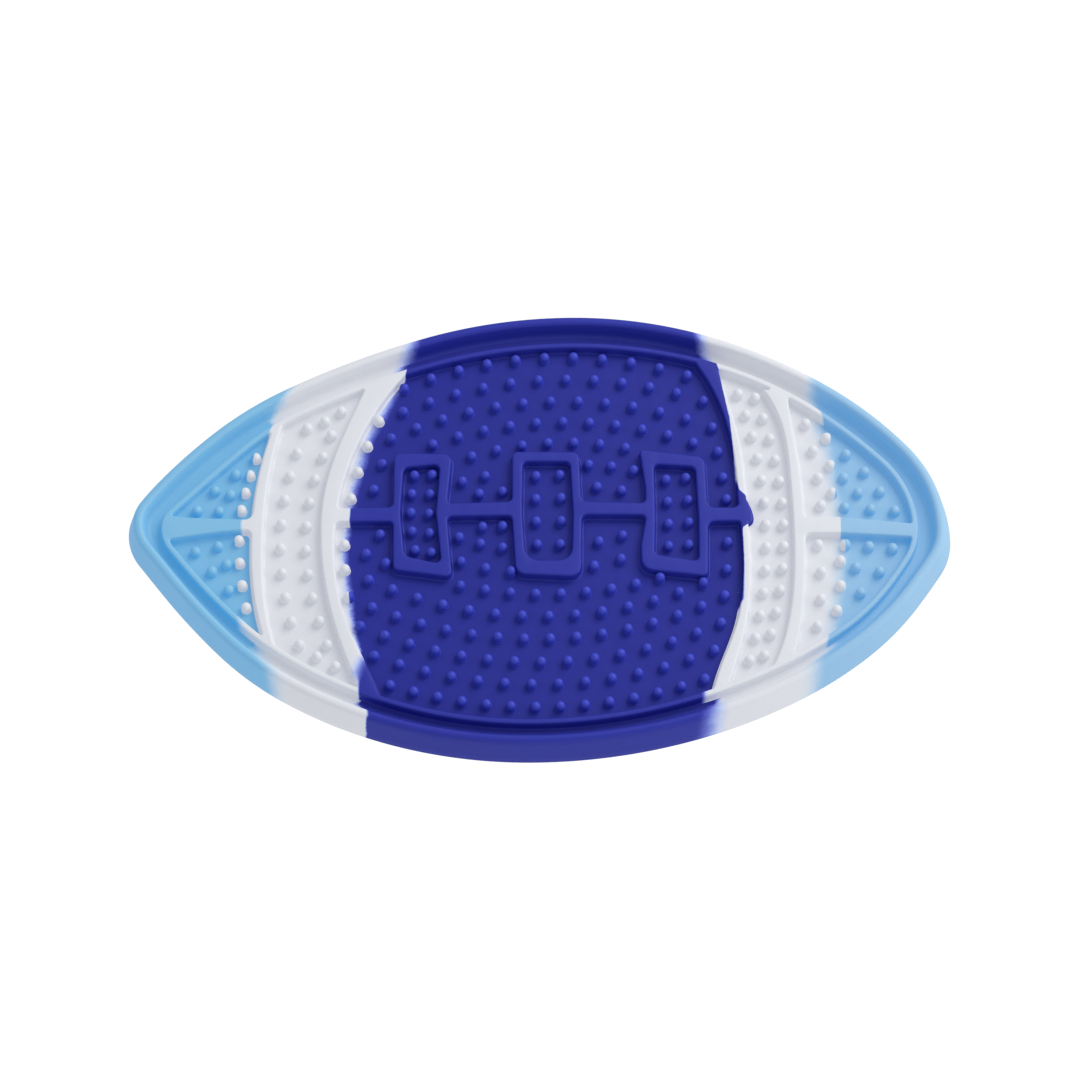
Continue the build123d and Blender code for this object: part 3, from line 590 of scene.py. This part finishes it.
def silicone(name, joints, ragged, royal, roughness, grain=1.0):
    """Moulded silicone in three colours that meet along the joints.

    The joints come from the left tip to the right one, ragged says how much they wander and fray,
    and grain scales the surface's unevenness.
    """
    material = bpy.data.materials.new(name)
    material.use_nodes = True
    tree = material.node_tree
    nodes, links = tree.nodes, tree.links
    shader = nodes["Principled BSDF"]

    def value(operation, a, b=None, c=None, clamp=False):
        node = nodes.new("ShaderNodeMath")
        node.operation = operation
        node.use_clamp = clamp
        for socket, given in zip(node.inputs, (a, b, c)):
            if given is None:
                continue
            if isinstance(given, (int, float)):
                socket.default_value = given
            else:
                links.new(given, socket)
        return node.outputs[0]

    def noise(kind):
        scale, detail = kind
        node = nodes.new("ShaderNodeTexNoise")
        node.inputs["Scale"].default_value = scale
        node.inputs["Detail"].default_value = detail
        links.new(place, node.inputs["Vector"])
        return node.outputs["Fac"]

    place = nodes.new("ShaderNodeTexCoord").outputs["Object"]
    split = nodes.new("ShaderNodeSeparateXYZ")
    links.new(place, split.inputs[0])
    x = value("DIVIDE", split.outputs[0], MM)
    y = value("DIVIDE", split.outputs[1], MM)
    wander = value("SUBTRACT", noise(WANDER_NOISE), 0.5)
    fray = value("MULTIPLY", value("SUBTRACT", noise(FRAY_NOISE), 0.5), ragged * FRAY)
    shift = value("MULTIPLY_ADD", wander, ragged * WANDER, fray)
    y_share = value("MULTIPLY_ADD", y, 0.5 / Y_SPAN, 0.5, True)

    def curve(pairs):
        node = nodes.new("ShaderNodeFloatCurve")
        points = node.mapping.curves[0].points
        while len(points) > 2:
            points.remove(points[1])
        pairs = [(0.0, pairs[0][1])] + pairs + [(1.0, pairs[-1][1])]
        points[0].location = pairs[0]
        points[1].location = pairs[-1]
        for pair in pairs[1:-1]:
            points.new(*pair)
        for point in points:
            point.handle_type = "VECTOR"
        node.mapping.use_clip = False
        node.mapping.update()
        links.new(y_share, node.inputs["Value"])
        return node.outputs[0]

    tones = [LEFT_BLUE, WHITE, royal, WHITE, RIGHT_BLUE]
    tint = None
    whites = []
    for number, stations in enumerate(joints):
        across, softness = [], []
        for station_y, station_x, soft in stations:
            share_y = (station_y + DRAWING_SHIFT[1]) / Y_SPAN * 0.5 + 0.5
            across.append((share_y, (station_x + DRAWING_SHIFT[0]) / X_SPAN * 0.5 + 0.5))
            softness.append((share_y, soft / SOFT_SPAN))
        joint = value("MULTIPLY_ADD", curve(across), 2 * X_SPAN, -X_SPAN)
        soft = value("MULTIPLY", curve(softness), SOFT_SPAN)
        beyond = value("SUBTRACT", value("ADD", x, shift), joint)
        share = value("ADD", value("DIVIDE", beyond, soft), 0.5, None, True)
        smooth = nodes.new("ShaderNodeMapRange")
        smooth.interpolation_type = "SMOOTHSTEP"
        links.new(share, smooth.inputs["Value"])
        ease = smooth.outputs[0]
        whites.append(ease if number in (0, 2) else value("SUBTRACT", 1.0, ease))
        stops = [(0.0, tones[number]), (1.0, tones[number + 1])]
        if number == 1:
            stops[1:1] = BLEED
        elif number == 2:
            stops[1:1] = [(1.0 - way, tone) for way, tone in reversed(BLEED)]
        ramp = nodes.new("ShaderNodeValToRGB")
        elements = ramp.color_ramp.elements
        ends = {0.0: 0, 1.0: -1}
        for way, tone in stops:
            stop = elements[ends[way]] if way in ends else elements.new(way)
            stop.color = linear(tone)
        links.new(ease, ramp.inputs[0])
        if tint is None:
            tint = ramp.outputs[0]
            continue
        mix = nodes.new("ShaderNodeMix")
        mix.data_type = "RGBA"
        links.new(value("GREATER_THAN", ease, 0.0001), mix.inputs["Factor"])
        links.new(tint, mix.inputs[6])
        links.new(ramp.outputs[0], mix.inputs[7])
        tint = mix.outputs[2]
    left_white = value("MULTIPLY", whites[0], whites[1])
    right_white = value("MULTIPLY", whites[2], whites[3])
    whiteness = value("ADD", left_white, right_white, None, True)
    blueness = value("SUBTRACT", 2.0, value("ADD", whites[0], whites[3]), None, True)
    # Painted glow: the whites and the light blues emit light of their own, which lifts their
    # shade, standing in for light spread inside the silicone.
    glow_tint = nodes.new("ShaderNodeMix")
    glow_tint.data_type = "RGBA"
    links.new(blueness, glow_tint.inputs["Factor"])
    glow_tint.inputs[6].default_value = linear(WHITE_GLOW)
    glow_tint.inputs[7].default_value = linear(BLUE_GLOW)
    links.new(glow_tint.outputs[2], shader.inputs["Emission Color"])
    glow_strength = value("MULTIPLY_ADD", blueness, BLUE_GLOW_STRENGTH, value("MULTIPLY", whiteness, WHITE_GLOW_STRENGTH))
    links.new(glow_strength, shader.inputs["Emission Strength"])
    cloud = value("MULTIPLY_ADD", noise(CLOUD_NOISE), CLOUD_DEPTH, 1.0 - CLOUD_DEPTH / 2)
    shade = nodes.new("ShaderNodeHueSaturation")
    links.new(cloud, shade.inputs["Value"])
    links.new(tint, shade.inputs["Color"])
    links.new(shade.outputs[0], shader.inputs["Base Color"])
    rough = value("MULTIPLY_ADD", noise(SHEEN_NOISE), SHEEN_DEPTH, roughness - SHEEN_DEPTH / 2)
    links.new(rough, shader.inputs["Roughness"])
    shader.inputs["IOR"].default_value = SILICONE_IOR
    shader.inputs["Specular IOR Level"].default_value = SPECULAR_LEVEL
    fine, broad = nodes.new("ShaderNodeBump"), nodes.new("ShaderNodeBump")
    for bump, kind, strength, height in ((fine, GRAIN_NOISE, GRAIN_STRENGTH, GRAIN_HEIGHT),
                                         (broad, WAVE_NOISE, WAVE_STRENGTH, WAVE_HEIGHT)):
        bump.inputs["Strength"].default_value = strength
        bump.inputs["Distance"].default_value = height * grain
        links.new(noise(kind), bump.inputs["Height"])
    links.new(fine.outputs[0], broad.inputs["Normal"])
    links.new(broad.outputs[0], shader.inputs["Normal"])
    return material


# The rim, ridges and nubs take the lighter royal copies: painted light on the raised parts.
RIM_SILICONE = silicone("rim_silicone", RIM_COLOURS, 0.55, LIT_RIM_ROYAL, 0.46)
RIDGE_SILICONE = silicone("ridge_silicone", RIDGE_COLOURS, 0.12, LIT_RIDGE_ROYAL, 0.46)
FLOOR_SILICONE = silicone("floor_silicone", FLOOR_COLOURS, 0.6, ROYAL, 0.55)
NUB_SILICONE = silicone("nub_silicone", NUB_COLOURS, 0.1, LIT_NUB_ROYAL, 0.42, 0.3)


def dress(thing, material):
    thing.data.materials.clear()
    thing.data.materials.append(material)


# ------------------------------------------------------------------ pieces
for blank, skin in loft_rim().items():
    dress(skin, RIM_SILICONE)
    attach(skin, "root")
    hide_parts(blank + "_rim")

for blank in BLANKS:
    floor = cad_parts[blank + "_floor"]
    dress(floor, FLOOR_SILICONE)

RIDGE_NODES = [blank + "_border" for blank in BLANKS] + [
    "left_tip_spine", "left_outer_stripe", "left_inner_stripe", "laces", "right_inner_stripe",
    "right_outer_stripe", "right_tip_spine"]
ridges = ridge_skin(RIDGE_NODES)
dress(ridges, RIDGE_SILICONE)
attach(ridges, "root")
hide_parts(*RIDGE_NODES)

chance = random.Random(NUB_SEED)
for group in BLANKS + ["lace"]:
    node = group + "_nubs"
    centres = part_centres(node, RIDGE_TOP)
    stretch = [(chance.uniform(*NUB_WIDTHS), chance.uniform(*NUB_HEIGHTS)) for _ in centres]
    nubs = lathe(centres, NUB_SECTION, FLOOR_TOP, NUB_SIDES, stretch)
    skin = make_mesh(node + "_skin", *nubs, smooth_angle=60.0)
    dress(skin, NUB_SILICONE)
    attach(skin, "root")
    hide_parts(node)

for blank in BLANKS:
    node = blank + "_suction_cups"
    rest = np.array([vertex.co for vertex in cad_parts[node].data.vertices])[:, :2] / MM
    centres = []
    while len(rest):
        near = np.hypot(*(rest - rest[0]).T) < CUP_REACH
        centres.append(tuple((rest[near].min(0) + rest[near].max(0)) / 2))
        rest = rest[~near]
    cups = lathe(centres, CUP_SECTION, 0.0, CUP_SIDES)
    skin = make_mesh(node + "_skin", *cups, smooth_angle=50.0)
    dress(skin, FLOOR_SILICONE)
    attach(skin, "root")
    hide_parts(node)


# ------------------------------------------------------------------ stage, light and camera
TABLE_SIZE = 6.0                     # metres, as are the other places and sizes here
TABLE_HEIGHT = -0.0006
TABLE_GLOW = 1.05
SKY_COLOUR = (0.93, 0.96, 1.0, 1)
SKY_STRENGTH = 0.58
LAMPS = [                            # name, place, size, power in watts, colour
    ("key", (0.7, 0.72, 1.0), 0.9, 11.4, (1.0, 0.99, 0.98)),
    ("front", (0.25, -1.3, 0.3), 1.0, 1.6, (1.0, 1.0, 1.0)),
    ("right", (1.35, -0.1, 0.4), 0.8, 5.6, (1.0, 1.0, 1.0)),
]
SENSOR = 36.0                        # mm
LENS = 131.04                        # mm
LENS_SHIFT = (-0.00046, 0.00093)     # shares of the frame
ELEVATION = math.radians(65)
DISTANCE = 1.2
TARGET_HEIGHT = 5                    # mm

bpy.ops.mesh.primitive_plane_add(size=TABLE_SIZE, location=(0, 0, TABLE_HEIGHT))
table = bpy.context.object
table.name = "table"
paper = bpy.data.materials.new("paper")
paper.use_nodes = True
paper.node_tree.nodes.clear()
glow = paper.node_tree.nodes.new("ShaderNodeEmission")
glow.inputs["Color"].default_value = (1, 1, 1, 1)
glow.inputs["Strength"].default_value = TABLE_GLOW
paper_output = paper.node_tree.nodes.new("ShaderNodeOutputMaterial")
paper.node_tree.links.new(glow.outputs[0], paper_output.inputs[0])
table.data.materials.append(paper)
table.visible_glossy = False

world = bpy.data.worlds.new("studio")
world.use_nodes = True
world.node_tree.nodes["Background"].inputs["Color"].default_value = SKY_COLOUR
world.node_tree.nodes["Background"].inputs["Strength"].default_value = SKY_STRENGTH
bpy.context.scene.world = world

for name, place, size, power, colour in LAMPS:
    light = bpy.data.lights.new(name, "AREA")
    light.shape = "SQUARE"
    light.size = size
    light.energy = power
    light.color = colour
    lamp = bpy.data.objects.new(name, light)
    lamp.location = place
    lamp.rotation_euler = (-Vector(place)).to_track_quat("-Z", "Y").to_euler()
    bpy.context.scene.collection.objects.link(lamp)

camera_data = bpy.data.cameras.new("camera")
camera_data.sensor_width = SENSOR
camera_data.lens = LENS
camera_data.shift_x, camera_data.shift_y = LENS_SHIFT
camera_data.clip_start = 0.05
camera_data.clip_end = 20.0
camera = bpy.data.objects.new("camera", camera_data)
target = Vector((*DRAWING_SHIFT, TARGET_HEIGHT)) * MM
camera.location = target + DISTANCE * Vector((0, -math.cos(ELEVATION), math.sin(ELEVATION)))
camera.rotation_euler = (target - camera.location).to_track_quat("-Z", "Y").to_euler()
bpy.context.scene.collection.objects.link(camera)
bpy.context.scene.camera = camera
bpy.context.scene.view_settings.view_transform = "Standard"
